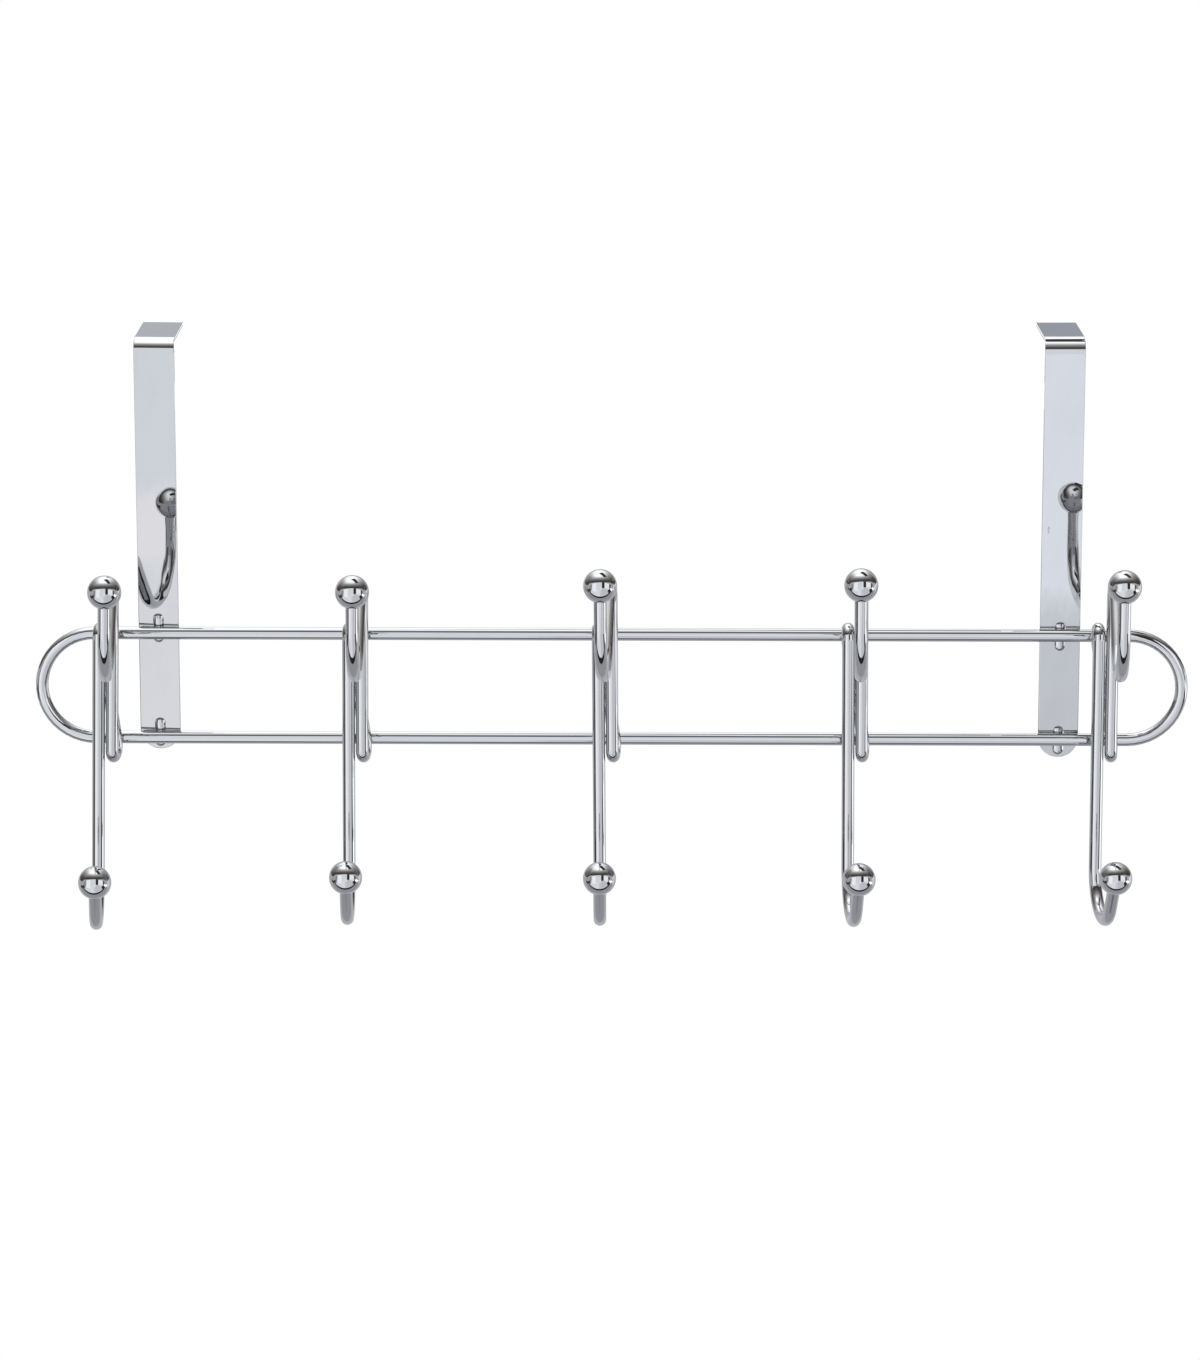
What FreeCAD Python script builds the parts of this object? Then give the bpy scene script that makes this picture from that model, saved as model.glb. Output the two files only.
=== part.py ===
import FreeCAD, Part
import math
import os

# Over door rack with double hooks. Millimetres, +Z up, the hooks point along -Y.
# The origin is on the front edge of the door's top, above the middle of the rails:
# the straps' backs lie on y = 0 and their flanges rest on z = 0.

# Wire and balls
wire_diameter = 5.0
ball_diameter = 12.9
socket_clearance = 0.05

# Rail frame, one closed loop of wire, welded on with its left end a little high, in degrees
frame_width = 457.0
rail_pitch = 42.5
rail_drop = 116.9
rail_tilt = 0.17

# Straps, each bent from one flat strip with round ends. They were welded on at heights
# of their own, so the lower rail crosses each at its own distance above the end.
strap_width = 16.0
strap_thickness = 1.2
left_strap_inset = 48.9
right_strap_inset = 50.8
left_strap_bend_radius = 4.8
right_strap_bend_radius = 5.8
left_strap_tail = 4.9
right_strap_tail = 8.4
strap_edge_radius = 0.3
door_gap = 43.0
lip_length = 25.0

# The straps were bent a little askew, which turns their legs about the vertical, in degrees
left_strap_turn = -3.4
right_strap_turn = 0.9

# Pips pressed forward out of the straps, which the rails are welded on. The lower one
# lies a fixed distance above the strap's end and the upper one a rail pitch higher.
pip_width = 4.2
pip_height = 11.8
pip_rise = 0.9
pip_end_distance = 6.9
rail_standoff = 0.3

# Hooks, evenly spread along the rails. The lists hold one value for each hook, left
# to right, because each was bent and welded by hand a little differently.
hook_count = 5
end_hook_inset = 31.5
leg_gap = 0.3
loop_inner_radius = 0.9
loop_top_rise = 0.7
loop_bottom_drop = 1.5
loop_bottom_shift = 1.0
crossing_bend_radius = 30.0

# Upper hook, from its long leg to its ball
crest_height = 15.7
crest_radius = 8.3
middle_leg_slope = 45.6
middle_leg_length = 23.5
upper_bend_radius = 21.6
front_leg_lengths = [9.1, 9.2, 11.5, 11.8, 11.1]

# Lower hook, from its shank to its ball
shank_drops = [51.4, 49.3, 49.6, 50.1, 49.7]
lower_bend_radius = 16.0
tip_length = 10.5
tip_lean = 30.0

# How far each half hook is turned about its leg and each whole hook leans, in degrees
upper_turns = [3.4, -0.1, -3.6, -3.6, -3.0]
lower_turns = [4.0, 1.0, -0.1, 3.5, 5.7]
leans = [1.3, 0.4, -0.4, -0.4, -0.2]

# Places that follow from the sizes above
wire_radius = wire_diameter / 2
ball_radius = ball_diameter / 2
top_rail_z = -rail_drop
bottom_rail_z = top_rail_z - rail_pitch
rail_y = -(strap_thickness + rail_standoff + wire_radius)
leg_spacing = wire_diameter + leg_gap
loop_bend_radius = loop_inner_radius + wire_radius
back_leg_y = rail_y - wire_diameter
front_leg_y = back_leg_y - 2 * loop_bend_radius
loop_top_z = top_rail_z + loop_top_rise
loop_bottom_z = bottom_rail_z - loop_bottom_drop
crest_z = top_rail_z + crest_height
left_strap_x = left_strap_inset - frame_width / 2
right_strap_x = frame_width / 2 - right_strap_inset
hook_pitch = (frame_width - 2 * end_hook_inset) / (hook_count - 1)


def vector(x, y, z):
    return FreeCAD.Vector(x, y, z)


def line(start, end):
    return Part.makeLine(start, end)


def arc(start, middle, end):
    return Part.Arc(start, middle, end).toShape()


def wire_stretch(edge):
    # One straight or bent stretch of round wire along an edge
    start = edge.valueAt(edge.FirstParameter)
    direction = edge.tangentAt(edge.FirstParameter)
    disc = Part.Face(Part.Wire([Part.makeCircle(wire_radius, start, direction)]))
    if edge.Curve.TypeId == "Part::GeomLine":
        return disc.extrude(direction * edge.Length)
    centre = edge.Curve.Center
    axis = (start - centre).cross(direction)
    return disc.revolve(centre, axis, math.degrees(edge.Length / edge.Curve.Radius))


def bent_wire(edges):
    stretches = [wire_stretch(edge) for edge in edges]
    return stretches[0].fuse(stretches[1:])


def rail_frame():
    end_radius = rail_pitch / 2
    end_x = frame_width / 2 - wire_radius - end_radius
    outer_x = end_x + end_radius
    middle_z = (top_rail_z + bottom_rail_z) / 2
    top_left = vector(-end_x, rail_y, top_rail_z)
    top_right = vector(end_x, rail_y, top_rail_z)
    bottom_right = vector(end_x, rail_y, bottom_rail_z)
    bottom_left = vector(-end_x, rail_y, bottom_rail_z)
    frame = bent_wire([
        line(top_left, top_right),
        arc(top_right, vector(outer_x, rail_y, middle_z), bottom_right),
        line(bottom_right, bottom_left),
        arc(bottom_left, vector(-outer_x, rail_y, middle_z), top_left),
    ])
    frame.rotate(vector(0, rail_y, middle_z), vector(0, 1, 0), rail_tilt)
    return frame


def strap_strip(centre_x, inner, turn, end_z):
    # The bent strip's side outline, carried across its width and a little forward or back
    outer = inner + strap_thickness
    across = vector(strap_width, strap_width * math.tan(math.radians(turn)), 0)
    front = -strap_thickness
    back = door_gap + strap_thickness
    top = strap_thickness
    lip_z = -lip_length
    back_bend_y = door_gap - inner
    left = centre_x - strap_width / 2

    def point(y, z):
        return vector(left, y - across.y / 2, z)

    def bend(start, bend_y, side, radius, end):
        corner = radius * math.sqrt(0.5)
        return arc(start, point(bend_y + side * corner, corner - inner), end)

    outline = [
        line(point(front, end_z), point(front, -inner)),
        bend(point(front, -inner), inner, -1, outer, point(inner, top)),
        line(point(inner, top), point(back_bend_y, top)),
        bend(point(back_bend_y, top), back_bend_y, 1, outer, point(back, -inner)),
        line(point(back, -inner), point(back, lip_z)),
        line(point(back, lip_z), point(door_gap, lip_z)),
        line(point(door_gap, lip_z), point(door_gap, -inner)),
        bend(point(door_gap, -inner), back_bend_y, 1, inner, point(back_bend_y, 0)),
        line(point(back_bend_y, 0), point(inner, 0)),
        bend(point(inner, 0), inner, -1, inner, point(0, -inner)),
        line(point(0, -inner), point(0, end_z)),
        line(point(0, end_z), point(front, end_z)),
    ]
    return Part.Face(Part.Wire(outline)).extrude(across)


def end_corners(centre_x, face_y, end_z):
    # What is cut off a leg of the strip to give it a full round end
    radius = strap_width / 2
    depth = 3 * strap_thickness
    start_y = face_y - strap_thickness
    block = Part.makeBox(strap_width, depth, radius, vector(centre_x - radius, start_y, end_z))
    bar = Part.makeCylinder(radius, depth, vector(centre_x, start_y, end_z + radius), vector(0, 1, 0))
    return block.cut(bar)


def pip(centre_x, centre_z):
    # A long low dome: the front of a capsule that lies behind the strap's face
    radius = (pip_width ** 2 / 4 + pip_rise ** 2) / (2 * pip_rise)
    length = pip_height - pip_width
    axis_y = -strap_thickness - pip_rise + radius
    low = vector(centre_x, axis_y, centre_z - length / 2)
    high = vector(centre_x, axis_y, centre_z + length / 2)
    capsule = Part.makeCylinder(radius, length, low, vector(0, 0, 1))
    capsule = capsule.fuse([Part.makeSphere(radius, low), Part.makeSphere(radius, high)])
    front = Part.makeBox(
        2 * radius, pip_rise + strap_thickness / 2, pip_height + 2 * radius,
        vector(centre_x - radius, -strap_thickness - pip_rise, centre_z - pip_height / 2 - radius))
    return capsule.common(front)


def strap(centre_x, bend_radius, turn, tail, rails):
    # The rails' own shape is pressed into the pips as their seats
    end_z = bottom_rail_z - tail
    solid = strap_strip(centre_x, bend_radius, turn, end_z)
    solid = solid.cut(end_corners(centre_x, -strap_thickness, end_z))
    solid = solid.cut(end_corners(centre_x, door_gap, -lip_length))
    solid = solid.makeFillet(strap_edge_radius, solid.Edges)
    low_pip_z = end_z + pip_end_distance
    solid = solid.fuse([pip(centre_x, low_pip_z), pip(centre_x, low_pip_z + rail_pitch)])
    return solid.cut(rails)


def on_circle(centre, radius, degrees):
    angle = math.radians(degrees)
    return (centre[0] + radius * math.cos(angle), centre[1] + radius * math.sin(angle))


def turned_place(x, turn):
    # Turns a place forward of a leg and up into a point of the rack
    angle = math.radians(turn)

    def place(forward, z):
        return vector(x + forward * math.sin(angle), front_leg_y - forward * math.cos(angle), z)

    return place


def upper_hook_edges(x, turn, front_leg_length):
    # Ball, front leg, bend, middle leg, crest and the long leg's top
    place = turned_place(x, turn)
    slope = math.radians(middle_leg_slope)
    crest = (crest_radius, crest_z)
    leg_high = on_circle(crest, crest_radius, 90 - middle_leg_slope)
    leg_low = (leg_high[0] + middle_leg_length * math.cos(slope), leg_high[1] - middle_leg_length * math.sin(slope))
    bend = on_circle(leg_low, upper_bend_radius, 90 - middle_leg_slope)
    crest_middle = on_circle(crest, crest_radius, (90 - middle_leg_slope + 180) / 2)
    bend_middle = on_circle(bend, upper_bend_radius, (270 - middle_leg_slope + 360) / 2)
    reach = bend[0] + upper_bend_radius
    ball_place = place(reach, bend[1] + front_leg_length + ball_radius)
    return ball_place, [
        line(ball_place, place(reach, bend[1])),
        arc(place(reach, bend[1]), place(*bend_middle), place(*leg_low)),
        line(place(*leg_low), place(*leg_high)),
        arc(place(*leg_high), place(*crest_middle), place(0, crest_z)),
    ]


def loop_edges(x):
    # Long leg, bottom bend, the crossing leg on the rails, and the top bend
    shank_x = x - leg_spacing
    low_x = x + loop_bottom_shift
    middle_y = (front_leg_y + back_leg_y) / 2
    bottom_radius = math.hypot(loop_bend_radius, loop_bottom_shift / 2)
    height = loop_top_z - loop_bottom_z
    radius = crossing_bend_radius
    across = 2 * radius - (low_x - shank_x)
    straight = math.sqrt(across ** 2 + height ** 2 - 4 * radius ** 2)
    slant = math.atan2(height, across) + math.atan2(2 * radius, straight) - math.pi / 2

    def swung(side, from_x, from_z, angle):
        return vector(
            from_x - side * radius * (1 - math.cos(angle)), back_leg_y, from_z + side * radius * math.sin(angle))

    low = vector(low_x, back_leg_y, loop_bottom_z)
    high = vector(shank_x, back_leg_y, loop_top_z)
    low_end = swung(1, low_x, loop_bottom_z, slant)
    high_end = swung(-1, shank_x, loop_top_z, slant)
    long_low = vector(x, front_leg_y, loop_bottom_z)
    return [
        line(vector(x, front_leg_y, crest_z), long_low),
        arc(long_low, vector((x + low_x) / 2, middle_y, loop_bottom_z - bottom_radius), low),
        arc(low, swung(1, low_x, loop_bottom_z, slant / 2), low_end),
        line(low_end, high_end),
        arc(high_end, swung(-1, shank_x, loop_top_z, slant / 2), high),
        arc(high, vector(shank_x, middle_y, loop_top_z + loop_bend_radius), vector(shank_x, front_leg_y, loop_top_z)),
    ]


def lower_hook_edges(x, turn, shank_drop):
    # Shank, bend and the tip under the ball, which leans forward
    place = turned_place(x, turn)
    bend = (lower_bend_radius, bottom_rail_z - shank_drop)
    lean = math.radians(tip_lean)
    length = tip_length + ball_radius
    bend_end = on_circle(bend, lower_bend_radius, 360 - tip_lean)
    bend_middle = on_circle(bend, lower_bend_radius, (180 + 360 - tip_lean) / 2)
    ball_place = place(bend_end[0] + length * math.sin(lean), bend_end[1] + length * math.cos(lean))
    return ball_place, [
        line(place(0, loop_top_z), place(0, bend[1])),
        arc(place(0, bend[1]), place(*bend_middle), place(*bend_end)),
        line(place(*bend_end), ball_place),
    ]


def ball(centre, wire):
    # The wire's end stops on the socket's floor, at the ball's centre
    into_wire = wire.valueAt(wire.FirstParameter) - centre
    if into_wire.Length < wire_radius:
        into_wire = wire.valueAt(wire.LastParameter) - centre
    socket = Part.makeCylinder(wire_radius + socket_clearance, ball_radius, centre, into_wire)
    return Part.makeSphere(ball_radius, centre).cut(socket)


def hook(number):
    x = (number - (hook_count - 1) / 2) * hook_pitch
    upper_place, upper_edges = upper_hook_edges(x, upper_turns[number], front_leg_lengths[number])
    lower_place, lower_edges = lower_hook_edges(x - leg_spacing, lower_turns[number], shank_drops[number])
    pieces = [
        bent_wire(upper_edges + loop_edges(x) + lower_edges),
        ball(upper_place, upper_edges[0]),
        ball(lower_place, lower_edges[-1]),
    ]
    for piece in pieces:
        piece.rotate(vector(x, 0, (top_rail_z + bottom_rail_z) / 2), vector(0, 1, 0), leans[number])
    return pieces


def save(shape, name):
    shape.exportStep("parts/" + name + ".step")
    print(name, shape.isValid(), len(shape.Solids), round(shape.Volume, 1))


os.makedirs("parts", exist_ok=True)
rails = rail_frame()
save(rails, "rail_frame")
save(strap(left_strap_x, left_strap_bend_radius, left_strap_turn, left_strap_tail, rails), "strap_left")
save(strap(right_strap_x, right_strap_bend_radius, right_strap_turn, right_strap_tail, rails), "strap_right")
for number in range(hook_count):
    wire, upper_ball, lower_ball = hook(number)
    place = str(number + 1)
    save(wire, "hook_wire_" + place)
    save(upper_ball, "upper_ball_" + place)
    save(lower_ball, "lower_ball_" + place)
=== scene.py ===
import math

import bpy
from bpy.props import FloatProperty, FloatVectorProperty, PointerProperty
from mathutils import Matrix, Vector

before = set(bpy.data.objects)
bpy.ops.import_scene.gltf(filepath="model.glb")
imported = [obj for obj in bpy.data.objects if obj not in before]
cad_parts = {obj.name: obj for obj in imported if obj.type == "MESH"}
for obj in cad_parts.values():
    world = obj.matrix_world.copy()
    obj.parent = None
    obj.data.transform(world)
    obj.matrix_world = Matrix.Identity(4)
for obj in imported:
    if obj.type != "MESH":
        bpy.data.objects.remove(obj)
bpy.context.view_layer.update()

bl_info = {
    "name": "Over Door Hook Rack",
    "version": (1, 0, 0),
    "blender": (4, 5, 0),
    "location": "View3D > Sidebar > Hook Rack",
    "description": "Plates the rack's wires, straps and balls in chrome and sets its studio",
    "category": "Material",
}

FRAME_NODE = "rail_frame"
STRAP_NODES = ("strap_left", "strap_right")
HOOK_COUNT = 5
HOOK_WIRES = tuple("hook_wire_%d" % number for number in range(1, HOOK_COUNT + 1))
UPPER_BALLS = tuple("upper_ball_%d" % number for number in range(1, HOOK_COUNT + 1))
LOWER_BALLS = tuple("lower_ball_%d" % number for number in range(1, HOOK_COUNT + 1))


class ChromeSettings(bpy.types.PropertyGroup):
    colour: FloatVectorProperty(
        name="Chrome colour", description="Reflection colour of the plate, seen straight on",
        subtype="COLOR", size=3, min=0, max=1, default=(0.55, 0.556, 0.565))
    haze_colour: FloatVectorProperty(
        name="Haze colour", description="Reflection colour where the plate is thin and a little dull",
        subtype="COLOR", size=3, min=0, max=1, default=(0.5, 0.502, 0.508))
    wire_roughness: FloatProperty(
        name="Wire roughness", description="Gloss of the drawn wires, 0 is a perfect mirror",
        min=0, max=1, default=0.008)
    strap_roughness: FloatProperty(
        name="Strap roughness", description="Gloss of the flat straps, 0 is a perfect mirror",
        min=0, max=1, default=0.012)
    ball_roughness: FloatProperty(
        name="Ball roughness", description="Gloss of the balls, 0 is a perfect mirror",
        min=0, max=1, default=0.005)
    haze_roughness: FloatProperty(
        name="Haze roughness", description="How much duller the hazy spots of the plate are",
        min=0, max=1, default=0.05)


class StudioSettings(bpy.types.PropertyGroup):
    floor_drop: FloatProperty(
        name="Floor drop", description="How far the floor lies below the door's top",
        unit="LENGTH", min=0.5, default=2.0)
    floor_radius: FloatProperty(
        name="Floor radius", description="Radius of the pale round floor",
        unit="LENGTH", min=0.1, default=0.6)
    floor_colour: FloatVectorProperty(
        name="Floor colour", description="Colour of the floor",
        subtype="COLOR", size=3, min=0, max=1, default=(0.9, 0.9, 0.91))
    door_colour: FloatVectorProperty(
        name="Door colour", description="Colour of the door beside the straps",
        subtype="COLOR", size=3, min=0, max=1, default=(0.93, 0.93, 0.94))
    room_radius: FloatProperty(
        name="Room radius", description="Radius of the shell that holds the studio's windows and dark walls",
        unit="LENGTH", min=3, default=8.0)
    lamp_watts: FloatProperty(
        name="Lamp power", description="Power of the soft lamp above the camera and to its left",
        unit="POWER", min=0, default=9.0)


class CameraSettings(bpy.types.PropertyGroup):
    distance: FloatProperty(
        name="Distance", description="From the door's front face to the camera",
        unit="LENGTH", min=0.3, default=1.75)
    height: FloatProperty(
        name="Height", description="Of the camera above the door's top",
        unit="LENGTH", default=0.3031)
    sideways: FloatProperty(
        name="Sideways", description="Of the camera to the right of the rack's middle",
        unit="LENGTH", default=-0.0047)
    tilt: FloatProperty(
        name="Tilt", description="How far the camera looks down",
        subtype="ANGLE", default=math.radians(11.07))
    focal_length: FloatProperty(
        name="Focal length", description="Of a 36 mm wide picture, in millimetres",
        subtype="NONE", min=10, default=135.97)
    rise: FloatProperty(
        name="Rise", description="How far the picture is moved up, as a share of its width",
        default=-0.2)


def deselect_all():
    """Leaves nothing selected, because the frame's nodes come in selected and operators act on them."""
    bpy.ops.object.select_all(action="DESELECT")


def new_node(tree, kind, place, **values):
    """A node at its place in the editor, with the named settings."""
    node = tree.nodes.new(kind)
    node.location = place
    for name, value in values.items():
        setattr(node, name, value)
    return node


def maths(tree, operation, place, first, second=None):
    """A Math node. Each input is a socket to link or a number to write."""
    node = new_node(tree, "ShaderNodeMath", place, operation=operation)
    for socket, value in zip(node.inputs, (first, second)):
        if value is None:
            continue
        if isinstance(value, bpy.types.NodeSocket):
            tree.links.new(value, socket)
        else:
            socket.default_value = value
    return node.outputs[0]


def new_group(name, inputs, outputs):
    """An empty node group with named sockets: (name, socket type, default) for each input."""
    tree = bpy.data.node_groups.new(name, "ShaderNodeTree")
    for label, kind, value in inputs:
        socket = tree.interface.new_socket(label, in_out="INPUT", socket_type=kind)
        if value is not None:
            socket.default_value = value
    for label, kind in outputs:
        tree.interface.new_socket(label, in_out="OUTPUT", socket_type=kind)
    entry = new_node(tree, "NodeGroupInput", (-900, 0))
    leaving = new_node(tree, "NodeGroupOutput", (900, 0))
    return tree, entry, leaving


# The noise at which a cloud begins and is full, and the distance from a pit's middle at which it
# ends and is deepest
CLOUD_BEGINS = 0.42
CLOUD_FULL = 0.72
PIT_ENDS = 0.22
PIT_DEEPEST = 0.08


def plate_haze_group():
    """Cloudy dull spots, fine polishing ripple and sparse pits, as a mask and a height."""
    if "plate_haze" in bpy.data.node_groups:
        return bpy.data.node_groups["plate_haze"]
    tree, entry, leaving = new_group("plate_haze", [
        ("Vector", "NodeSocketVector", None),
        ("Cloud Scale", "NodeSocketFloat", 60.0),
        ("Cloud Amount", "NodeSocketFloat", 0.5),
        ("Ripple Scale", "NodeSocketFloat", 400.0),
        ("Ripple Height", "NodeSocketFloat", 0.3),
        ("Pit Scale", "NodeSocketFloat", 900.0),
        ("Pit Share", "NodeSocketFloat", 0.1),
    ], [
        ("Haze", "NodeSocketFloat"),
        ("Height", "NodeSocketFloat"),
    ])
    link = tree.links.new
    clouds = new_node(tree, "ShaderNodeTexNoise", (-600, 250))
    clouds.inputs["Detail"].default_value = 4.0
    clouds.inputs["Roughness"].default_value = 0.6
    link(entry.outputs["Vector"], clouds.inputs["Vector"])
    link(entry.outputs["Cloud Scale"], clouds.inputs["Scale"])
    cloud_edge = new_node(tree, "ShaderNodeMapRange", (-400, 250), interpolation_type="SMOOTHSTEP")
    cloud_edge.inputs["From Min"].default_value = CLOUD_BEGINS
    cloud_edge.inputs["From Max"].default_value = CLOUD_FULL
    link(clouds.outputs["Fac"], cloud_edge.inputs["Value"])
    cloud = maths(tree, "MULTIPLY", (-200, 250), cloud_edge.outputs["Result"], entry.outputs["Cloud Amount"])

    pits = new_node(tree, "ShaderNodeTexVoronoi", (-600, -250))
    link(entry.outputs["Vector"], pits.inputs["Vector"])
    link(entry.outputs["Pit Scale"], pits.inputs["Scale"])
    pit_size = new_node(tree, "ShaderNodeMapRange", (-400, -250), interpolation_type="SMOOTHSTEP")
    pit_size.inputs["From Min"].default_value = PIT_ENDS
    pit_size.inputs["From Max"].default_value = PIT_DEEPEST
    link(pits.outputs["Distance"], pit_size.inputs["Value"])
    chance = new_node(tree, "ShaderNodeSeparateColor", (-400, -450))
    link(pits.outputs["Color"], chance.inputs["Color"])
    chosen = maths(tree, "LESS_THAN", (-200, -450), chance.outputs["Red"], entry.outputs["Pit Share"])
    pit = maths(tree, "MULTIPLY", (0, -250), pit_size.outputs["Result"], chosen)

    ripple = new_node(tree, "ShaderNodeTexNoise", (-600, 0))
    ripple.inputs["Detail"].default_value = 2.0
    link(entry.outputs["Vector"], ripple.inputs["Vector"])
    link(entry.outputs["Ripple Scale"], ripple.inputs["Scale"])
    wave = maths(tree, "MULTIPLY", (-200, 0), ripple.outputs["Fac"], entry.outputs["Ripple Height"])

    haze = maths(tree, "MAXIMUM", (200, 200), cloud, pit)
    height = maths(tree, "SUBTRACT", (200, -50), wave, pit)
    link(haze, leaving.inputs["Haze"])
    link(height, leaving.inputs["Height"])
    return tree


def chrome_material(name, roughness, haze_values, bump_distance, stretch=(1.0, 1.0, 1.0)):
    """Bright chrome. haze_values are the plate_haze group's own, and stretch scales its pattern
    along each axis, so that a value under 1 draws it out."""
    chrome = bpy.context.scene.chrome_settings
    material = bpy.data.materials.new(name)
    material.use_nodes = True
    tree = material.node_tree
    shader = tree.nodes["Principled BSDF"]
    shader.inputs["Metallic"].default_value = 1.0
    place = new_node(tree, "ShaderNodeTexCoord", (-1200, 0))
    drawn = new_node(tree, "ShaderNodeMapping", (-1000, 0))
    drawn.inputs["Scale"].default_value = stretch
    tree.links.new(place.outputs["Object"], drawn.inputs["Vector"])
    haze = new_node(tree, "ShaderNodeGroup", (-780, 0), node_tree=plate_haze_group())
    for label, value in haze_values.items():
        haze.inputs[label].default_value = value
    tree.links.new(drawn.outputs["Vector"], haze.inputs["Vector"])

    tint = new_node(tree, "ShaderNodeMix", (-400, 200), data_type="RGBA")
    tint.inputs["A"].default_value = (*chrome.colour, 1)
    tint.inputs["B"].default_value = (*chrome.haze_colour, 1)
    tree.links.new(haze.outputs["Haze"], tint.inputs["Factor"])
    tree.links.new(tint.outputs["Result"], shader.inputs["Base Color"])

    gloss = new_node(tree, "ShaderNodeMapRange", (-400, 0))
    gloss.inputs["To Min"].default_value = roughness
    gloss.inputs["To Max"].default_value = roughness + chrome.haze_roughness
    tree.links.new(haze.outputs["Haze"], gloss.inputs["Value"])
    tree.links.new(gloss.outputs["Result"], shader.inputs["Roughness"])

    bump = new_node(tree, "ShaderNodeBump", (-400, -250))
    bump.inputs["Strength"].default_value = 1.0
    bump.inputs["Distance"].default_value = bump_distance
    tree.links.new(haze.outputs["Height"], bump.inputs["Height"])
    tree.links.new(bump.outputs["Normal"], shader.inputs["Normal"])
    return material


def plate(names, material):
    """Puts the material in every slot of the named CAD nodes."""
    for name in names:
        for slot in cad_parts[name].material_slots:
            slot.material = material


class RACK_OT_plate_wires(bpy.types.Operator):
    """Plates the rail frame and the hook wires in drawn-wire chrome"""
    bl_idname = "rack.plate_wires"
    bl_label = "Plate Wires"

    def execute(self, context):
        chrome = context.scene.chrome_settings
        wire = chrome_material("chrome_wire_bright", chrome.wire_roughness, {
            "Cloud Scale": 60.0, "Cloud Amount": 0.3, "Ripple Scale": 90.0,
            "Ripple Height": 0.6, "Pit Scale": 500.0, "Pit Share": 0.004,
        }, bump_distance=0.00001)
        plate((FRAME_NODE,) + HOOK_WIRES, wire)
        return {"FINISHED"}


class RACK_OT_plate_straps(bpy.types.Operator):
    """Plates the two bent straps in sheet chrome, a little wavy along their length"""
    bl_idname = "rack.plate_straps"
    bl_label = "Plate Straps"

    def execute(self, context):
        chrome = context.scene.chrome_settings
        strap = chrome_material("chrome_strap_bright", chrome.strap_roughness, {
            "Cloud Scale": 60.0, "Cloud Amount": 0.5, "Ripple Scale": 110.0,
            "Ripple Height": 0.8, "Pit Scale": 400.0, "Pit Share": 0.02,
        }, bump_distance=0.00004, stretch=(1.0, 1.0, 0.35))
        plate(STRAP_NODES, strap)
        return {"FINISHED"}


class RACK_OT_plate_balls(bpy.types.Operator):
    """Plates the balls on the hooks' ends in mirror chrome"""
    bl_idname = "rack.plate_balls"
    bl_label = "Plate Balls"

    def execute(self, context):
        chrome = context.scene.chrome_settings
        ball = chrome_material("chrome_ball_bright", chrome.ball_roughness, {
            "Cloud Scale": 120.0, "Cloud Amount": 0.2, "Ripple Scale": 120.0,
            "Ripple Height": 0.3, "Pit Scale": 600.0, "Pit Share": 0.006,
        }, bump_distance=0.00001)
        plate(UPPER_BALLS + LOWER_BALLS, ball)
        return {"FINISHED"}


# The pale matt surfaces: how matt they are, the scale of their grain, how dark its dark side is
# and how far camera, mirror and glass see them lifted towards white
PALE_ROUGHNESS = 0.9
GRAIN_SCALE = 6.0
GRAIN_SHADE = 0.98
PALE_LIFT = 0.4


def pale_material(name, colour):
    """A pale matt surface that is lifted towards white in the picture and keeps its shadow."""
    material = bpy.data.materials.new(name)
    material.use_nodes = True
    tree = material.node_tree
    shader = tree.nodes["Principled BSDF"]
    shader.inputs["Roughness"].default_value = PALE_ROUGHNESS
    shader.inputs["Specular IOR Level"].default_value = 0.0
    place = new_node(tree, "ShaderNodeTexCoord", (-900, 100))
    grain = new_node(tree, "ShaderNodeTexNoise", (-700, 100))
    grain.inputs["Scale"].default_value = GRAIN_SCALE
    tree.links.new(place.outputs["Object"], grain.inputs["Vector"])
    tint = new_node(tree, "ShaderNodeMix", (-400, 100), data_type="RGBA")
    tint.inputs["A"].default_value = (*colour, 1)
    tint.inputs["B"].default_value = (*(GRAIN_SHADE * part for part in colour), 1)
    tree.links.new(grain.outputs["Fac"], tint.inputs["Factor"])
    tree.links.new(tint.outputs["Result"], shader.inputs["Base Color"])
    shader.inputs["Emission Color"].default_value = (1, 1, 1, 1)
    path = new_node(tree, "ShaderNodeLightPath", (-900, -200))
    seen = maths(tree, "MAXIMUM", (-650, -200), path.outputs["Is Camera Ray"], path.outputs["Is Glossy Ray"])
    seen = maths(tree, "MAXIMUM", (-450, -200), seen, path.outputs["Is Transmission Ray"])
    lifted = maths(tree, "MULTIPLY", (-250, -200), seen, PALE_LIFT)
    tree.links.new(lifted, shader.inputs["Emission Strength"])
    return material


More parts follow.
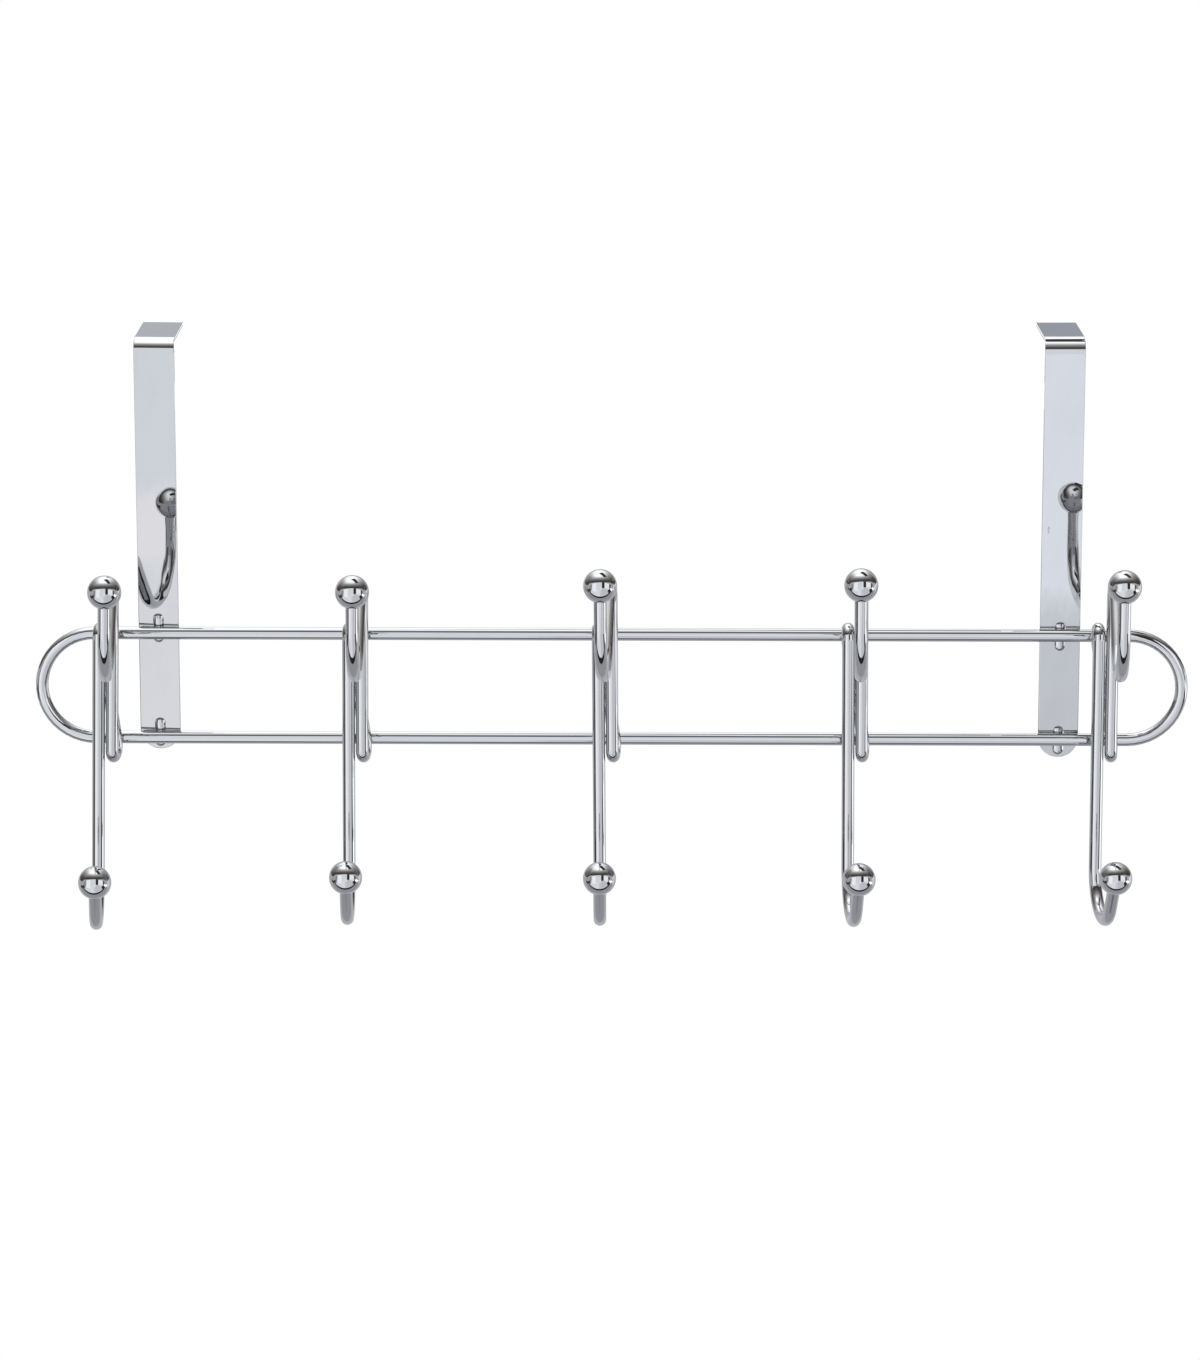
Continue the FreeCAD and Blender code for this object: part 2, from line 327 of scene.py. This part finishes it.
def sky_card_group():
    """A soft-edged rectangle in the studio, between angles in degrees, as a mask."""
    if "sky_card" in bpy.data.node_groups:
        return bpy.data.node_groups["sky_card"]
    tree, entry, leaving = new_group("sky_card", [
        ("Across", "NodeSocketFloat", 0.0),
        ("Upright", "NodeSocketFloat", 0.0),
        ("Left", "NodeSocketFloat", -30.0),
        ("Right", "NodeSocketFloat", 30.0),
        ("Bottom", "NodeSocketFloat", -30.0),
        ("Top", "NodeSocketFloat", 30.0),
        ("Softness", "NodeSocketFloat", 3.0),
    ], [("Mask", "NodeSocketFloat")])

    def edge(value, limit, place):
        """1 inside the edge and 0 outside it, over the softness."""
        distance = maths(tree, "SUBTRACT", place, value, limit)
        share = maths(tree, "DIVIDE", (place[0] + 160, place[1]), distance, entry.outputs["Softness"])
        moved = maths(tree, "ADD", (place[0] + 320, place[1]), share, 0.5)
        moved.node.use_clamp = True
        return moved

    across = entry.outputs["Across"]
    upright = entry.outputs["Upright"]
    left = edge(across, entry.outputs["Left"], (-600, 300))
    right = edge(entry.outputs["Right"], across, (-600, 100))
    bottom = edge(upright, entry.outputs["Bottom"], (-600, -100))
    top = edge(entry.outputs["Top"], upright, (-600, -300))
    width = maths(tree, "MULTIPLY", (200, 200), left, right)
    height = maths(tree, "MULTIPLY", (200, -200), bottom, top)
    mask = maths(tree, "MULTIPLY", (500, 0), width, height)
    tree.links.new(mask, leaving.inputs["Mask"])
    return tree


# What the mirror surfaces see around them. Each card has its name, its left and right limit as
# angles to the side (right is positive), its bottom and top limit as angles over the top (0 is
# level in front, 90 overhead, 180 level behind), its softness, all in degrees, and its light.
# Later cards lie over earlier ones.
STUDIO_CARDS = (
    ("floor", -64, 64, -118, -66, 5, (0.46, 0.47, 0.5)),
    ("wall's dark foot", -66, 66, -76, -60, 3, (0.03, 0.029, 0.03)),
    ("left wall", -72, -55, -62, 30, 5, (0.47, 0.39, 0.37)),
    ("left wall low", -75, -63, -130, -30, 4, (0.06, 0.058, 0.06)),
    ("front window", -56, 12, -61, 38, 2, (1.1, 1.15, 1.21)),
    ("window's bright side", -52, -26, -30, 36, 6, (1.45, 1.47, 1.5)),
    ("window's pale band", -24, -4, -13.6, -12.3, 0.4, (1.29, 1.275, 1.31)),
    ("window's lower left", -24, -4, -61, -13.6, 0.6, (1.2, 1.21, 1.26)),
    ("window's bright middle", -1, 12, -14, 6, 0.6, (1.22, 1.26, 1.35)),
    ("window's lower middle", -1, 13, -61, -14, 0.6, (0.94, 0.97, 1.03)),
    ("front low", 13, 46, -61, -2, 5, (0.88, 0.89, 0.92)),
    ("dark post", 12, 30, -1, 38, 2, (0.05, 0.042, 0.04)),
    ("right corner", 62, 77, -28, 40, 4, (0.12, 0.12, 0.125)),
    ("right window", 30, 63, -5, 38, 2, (1.4, 1.42, 1.46)),
    ("right window low", 42, 63, -24, -3, 6, (1.2, 1.21, 1.24)),
    ("right post", 49, 67, -66, -26, 3, (0.035, 0.034, 0.035)),
    ("white low on the right", 67, 78, -185, -26, 3, (1.9, 1.92, 1.96)),
    ("white behind on the right", 50, 95, -185, -125, 6, (1.1, 1.12, 1.15)),
    ("back wall on the left", -40, 0, 157, 186, 5, (0.575, 0.59, 0.64)),
    ("back wall on the right", 0, 40, 157, 186, 5, (0.4, 0.43, 0.49)),
)
# The light of the back wall and of all else that no card covers
BACK_WALL = (0.62, 0.63, 0.66)
# The lit ceiling: its brightest place, how much slower it fades sideways and to the back, how far
# it reaches, how soft its edge is as a share of that, and its light by the angle from that place
CEILING_SIDE = -4
CEILING_PITCH = 98
SIDE_STRETCH = 1.3
BACK_STRETCH = 2.8
CEILING_REACH = 64
CEILING_SOFTNESS = 0.05
CEILING_LIGHT = (
    (14, (1.9, 1.92, 1.96)),
    (24, (1.06, 1.06, 1.06)),
    (32, (0.53, 0.52, 0.51)),
    (40, (0.33, 0.31, 0.3)),
    (47, (0.15, 0.135, 0.128)),
    (58, (0.075, 0.068, 0.064)),
)
# The dark opening in the ceiling: its left, right, bottom, top and softness, in angles from the
# brightest place along axes turned by an eighth of a turn, and its light
OPENING = (-8, 32, 5, 26, 3)
OPENING_LIGHT = (0.07, 0.068, 0.07)
# Where the first card's nodes stand in the editor, and how far the next ones stand from them
FIRST_CARD_PLACE = 400
CARD_SPACING = 220


def lay_card(tree, across, upright, limits, under, light, place, label):
    """Lays one card over the colour under it. limits are its left, right, bottom, top and softness."""
    link = tree.links.new
    x, y = place
    card = new_node(tree, "ShaderNodeGroup", (x, y - 350), node_tree=sky_card_group(), label=label)
    for name, value in zip(("Left", "Right", "Bottom", "Top", "Softness"), limits):
        card.inputs[name].default_value = value
    link(across, card.inputs["Across"])
    link(upright, card.inputs["Upright"])
    laid = new_node(tree, "ShaderNodeMix", (x, y), data_type="RGBA", label=label)
    laid.inputs["B"].default_value = (*light, 1)
    link(card.outputs["Mask"], laid.inputs["Factor"])
    link(under, laid.inputs["A"])
    return laid.outputs["Result"]


def ceiling_colour(tree, side, pitch):
    """The back wall with the ceiling's light over it, which fades from its brightest place."""
    link = tree.links.new
    sideways = maths(tree, "SUBTRACT", (-1600, 400), side, CEILING_SIDE)
    narrowed = maths(tree, "DIVIDE", (-1400, 400), sideways, SIDE_STRETCH)
    onwards = maths(tree, "SUBTRACT", (-1600, 200), pitch, CEILING_PITCH)
    behind = maths(tree, "DIVIDE", (-1400, 200), onwards, BACK_STRETCH)
    before = maths(tree, "MULTIPLY", (-1400, 50), onwards, -1.0)
    over = maths(tree, "MAXIMUM", (-1200, 150), behind, before)
    both = new_node(tree, "ShaderNodeCombineXYZ", (-1000, 300))
    link(narrowed, both.inputs["X"])
    link(over, both.inputs["Y"])
    away = new_node(tree, "ShaderNodeVectorMath", (-800, 300), operation="LENGTH")
    link(both.outputs["Vector"], away.inputs[0])
    share = maths(tree, "DIVIDE", (-600, 300), away.outputs["Value"], CEILING_REACH)
    ramp = new_node(tree, "ShaderNodeValToRGB", (-400, 300))
    stops = ramp.color_ramp.elements
    while len(stops) < len(CEILING_LIGHT):
        stops.new(0.5)
    for stop, (angle, light) in zip(stops, CEILING_LIGHT):
        stop.position = angle / CEILING_REACH
        stop.color = (*light, 1)
    link(share, ramp.inputs["Fac"])
    edge = new_node(tree, "ShaderNodeMapRange", (-400, 0))
    edge.inputs["From Min"].default_value = 1 + CEILING_SOFTNESS
    edge.inputs["From Max"].default_value = 1 - CEILING_SOFTNESS
    link(share, edge.inputs["Value"])
    laid = new_node(tree, "ShaderNodeMix", (-100, 200), data_type="RGBA", label="lit ceiling")
    laid.inputs["A"].default_value = (*BACK_WALL, 1)
    link(ramp.outputs["Color"], laid.inputs["B"])
    link(edge.outputs["Result"], laid.inputs["Factor"])

    turned = []
    eighth = math.sqrt(0.5)
    for height, direction in ((-200, -1), (-400, 1)):
        first = maths(tree, "MULTIPLY", (-1200, height), sideways, eighth)
        second = maths(tree, "MULTIPLY", (-1200, height - 100), onwards, direction * eighth)
        turned.append(maths(tree, "ADD", (-1000, height), first, second))
    return lay_card(
        tree, turned[0], turned[1], OPENING, laid.outputs["Result"], OPENING_LIGHT,
        (100, 100), "ceiling's dark opening")


def room_material():
    """The studio's windows, walls, posts and ceiling, as light by the direction from the rack."""
    material = bpy.data.materials.new("room")
    material.use_nodes = True
    tree = material.node_tree
    link = tree.links.new
    tree.nodes.remove(tree.nodes["Principled BSDF"])
    place = new_node(tree, "ShaderNodeTexCoord", (-2800, 0))
    direction = new_node(tree, "ShaderNodeVectorMath", (-2600, 0), operation="NORMALIZE")
    link(place.outputs["Object"], direction.inputs[0])
    parts = new_node(tree, "ShaderNodeSeparateXYZ", (-2400, 0))
    link(direction.outputs["Vector"], parts.inputs["Vector"])
    forward = maths(tree, "MULTIPLY", (-2200, -100), parts.outputs["Y"], -1.0)
    side = maths(tree, "DEGREES", (-1800, 0), maths(tree, "ARCSINE", (-2000, 0), parts.outputs["X"]))
    over = maths(tree, "ARCTAN2", (-2000, -200), parts.outputs["Z"], forward)
    pitch = maths(tree, "DEGREES", (-1800, -200), over)

    colour = ceiling_colour(tree, side, pitch)
    for number, (label, left, right, bottom, top, softness, light) in enumerate(STUDIO_CARDS):
        colour = lay_card(
            tree, side, pitch, (left, right, bottom, top, softness), colour, light,
            (FIRST_CARD_PLACE + CARD_SPACING * number, 100), label)

    end = FIRST_CARD_PLACE + CARD_SPACING * len(STUDIO_CARDS)
    glow = new_node(tree, "ShaderNodeEmission", (end, 100))
    glow.inputs["Strength"].default_value = 1.0
    link(colour, glow.inputs["Color"])
    output = tree.nodes["Material Output"]
    output.location = (end + CARD_SPACING, 100)
    link(glow.outputs["Emission"], output.inputs["Surface"])
    return material


def build_room(radius):
    """A shell around the rack that only mirror surfaces see."""
    deselect_all()
    bpy.ops.mesh.primitive_uv_sphere_add(segments=64, ring_count=32, radius=radius)
    room = bpy.context.object
    room.name = "room"
    room.data.materials.append(room_material())
    for kind in ("camera", "diffuse", "shadow", "volume_scatter"):
        setattr(room, "visible_" + kind, False)


def build_world(scene):
    """A plain white world, which is the picture's background and an even light."""
    world = bpy.data.worlds.new("white")
    world.use_nodes = True
    background = world.node_tree.nodes["Background"]
    background.inputs["Color"].default_value = (1, 1, 1, 1)
    background.inputs["Strength"].default_value = 1.0
    scene.world = world


# The two slivers of the door's face and top beside each strap: how far they stand out towards the
# rack's middle, how far down the face goes, how thick they are and how far they stay from the strap
DOOR_SLIVER_WIDTH = 0.005
DOOR_SLIVER_HEIGHT = 0.027
DOOR_SLIVER_THICKNESS = 0.0008
DOOR_GAP = 0.00005
# The soft lamp: where it stands, what it points at and its width and depth
LAMP_PLACE = (-0.9, -1.9, 1.7)
LAMP_AIM = (0, 0, -0.12)
LAMP_WIDTH = 1.4
LAMP_DEPTH = 0.9


def node_box(name):
    """The lowest and highest corner of a CAD node."""
    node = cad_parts[name]
    corners = [node.matrix_world @ Vector(corner) for corner in node.bound_box]
    low = Vector([min(corner[axis] for corner in corners) for axis in range(3)])
    high = Vector([max(corner[axis] for corner in corners) for axis in range(3)])
    return low, high


def add_block(name, low, high):
    """A plain block between two corners, with its place in its mesh."""
    deselect_all()
    bpy.ops.mesh.primitive_cube_add(size=1)
    block = bpy.context.object
    block.name = name
    block.scale = [b - a for a, b in zip(low, high)]
    block.location = [(a + b) / 2 for a, b in zip(low, high)]
    bpy.ops.object.transform_apply(location=True, rotation=True, scale=True)
    return block


def build_floor(studio):
    """A pale round floor far below the rack. Mirrors see the room's floor card in its place."""
    deselect_all()
    bpy.ops.mesh.primitive_circle_add(
        vertices=96, radius=studio.floor_radius, fill_type="NGON", location=(0, 0, -studio.floor_drop))
    floor = bpy.context.object
    floor.name = "floor"
    bpy.ops.object.transform_apply(location=True, rotation=True, scale=True)
    floor.data.materials.append(pale_material("pale_floor", studio.floor_colour))
    floor.visible_glossy = False


def build_door_slivers(studio):
    """Two slivers of the door beside each strap, on its side towards the rack's middle."""
    door = pale_material("pale_door", studio.door_colour)
    underside = -DOOR_GAP - DOOR_SLIVER_THICKNESS
    for name in STRAP_NODES:
        low, high = node_box(name)
        if low.x < 0:
            left, right = high.x + DOOR_GAP, high.x + DOOR_SLIVER_WIDTH
        else:
            left, right = low.x - DOOR_SLIVER_WIDTH, low.x - DOOR_GAP
        back = high.y - DOOR_GAP
        for side, front_to_back, bottom_to_top in (
                ("face", (DOOR_GAP, DOOR_GAP + DOOR_SLIVER_THICKNESS), (-DOOR_SLIVER_HEIGHT, underside)),
                ("top", (DOOR_GAP, back), (underside, -DOOR_GAP))):
            sliver = add_block(
                "door_%s_beside_%s" % (side, name),
                (left, front_to_back[0], bottom_to_top[0]),
                (right, front_to_back[1], bottom_to_top[1]))
            sliver.data.materials.append(door)


def build_lamp(studio):
    """A soft lamp that mirrors don't see."""
    deselect_all()
    bpy.ops.object.light_add(type="AREA", location=LAMP_PLACE)
    lamp = bpy.context.object
    lamp.name = "soft_lamp"
    lamp.data.shape = "RECTANGLE"
    lamp.data.size = LAMP_WIDTH
    lamp.data.size_y = LAMP_DEPTH
    lamp.data.energy = studio.lamp_watts
    lamp.visible_glossy = False
    aim = Vector(LAMP_AIM) - lamp.location
    lamp.rotation_euler = aim.to_track_quat("-Z", "Y").to_euler()


class RACK_OT_set_stage(bpy.types.Operator):
    """Sets the floor, the studio, the soft lamp and the slivers of door that hide the rear lips"""
    bl_idname = "rack.set_stage"
    bl_label = "Set Stage"

    def execute(self, context):
        studio = context.scene.studio_settings
        build_floor(studio)
        build_door_slivers(studio)
        build_room(studio.room_radius)
        build_world(context.scene)
        build_lamp(studio)
        return {"FINISHED"}


# The width of the camera's picture in millimetres, and how far it sees in metres
SENSOR_WIDTH = 36
CLIP_END = 50


class RACK_OT_set_camera(bpy.types.Operator):
    """Sets the camera in front of the rack, a little above it and looking down on it"""
    bl_idname = "rack.set_camera"
    bl_label = "Set Camera"

    def execute(self, context):
        view = context.scene.camera_settings
        deselect_all()
        bpy.ops.object.camera_add(
            location=(view.sideways, -view.distance, view.height),
            rotation=(math.pi / 2 - view.tilt, 0, 0))
        camera = context.object
        camera.name = "front_camera"
        camera.data.sensor_fit = "HORIZONTAL"
        camera.data.sensor_width = SENSOR_WIDTH
        camera.data.lens = view.focal_length
        camera.data.shift_y = view.rise
        camera.data.clip_end = CLIP_END
        context.scene.camera = camera
        context.scene.view_settings.view_transform = "Standard"
        return {"FINISHED"}


class RACK_PT_panel(bpy.types.Panel):
    """Lists the rack's settings and its operators"""
    bl_label = "Hook Rack"
    bl_idname = "RACK_PT_panel"
    bl_space_type = "VIEW_3D"
    bl_region_type = "UI"
    bl_category = "Hook Rack"

    def draw(self, context):
        scene = context.scene
        for title, settings in (
                ("Chrome", scene.chrome_settings),
                ("Studio", scene.studio_settings),
                ("Camera", scene.camera_settings)):
            box = self.layout.box()
            box.label(text=title)
            for name in settings.__annotations__:
                box.prop(settings, name)
        for operator in OPERATORS:
            self.layout.operator(operator.bl_idname)


OPERATORS = (
    RACK_OT_plate_wires,
    RACK_OT_plate_straps,
    RACK_OT_plate_balls,
    RACK_OT_set_stage,
    RACK_OT_set_camera,
)
CLASSES = (ChromeSettings, StudioSettings, CameraSettings) + OPERATORS + (RACK_PT_panel,)


def register():
    for item in CLASSES:
        bpy.utils.register_class(item)
    bpy.types.Scene.chrome_settings = PointerProperty(type=ChromeSettings)
    bpy.types.Scene.studio_settings = PointerProperty(type=StudioSettings)
    bpy.types.Scene.camera_settings = PointerProperty(type=CameraSettings)


def unregister():
    del bpy.types.Scene.camera_settings
    del bpy.types.Scene.studio_settings
    del bpy.types.Scene.chrome_settings
    for item in reversed(CLASSES):
        bpy.utils.unregister_class(item)


def main():
    """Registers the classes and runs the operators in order."""
    register()
    bpy.ops.rack.plate_wires()
    bpy.ops.rack.plate_straps()
    bpy.ops.rack.plate_balls()
    bpy.ops.rack.set_stage()
    bpy.ops.rack.set_camera()


if __name__ == "__main__":
    main()
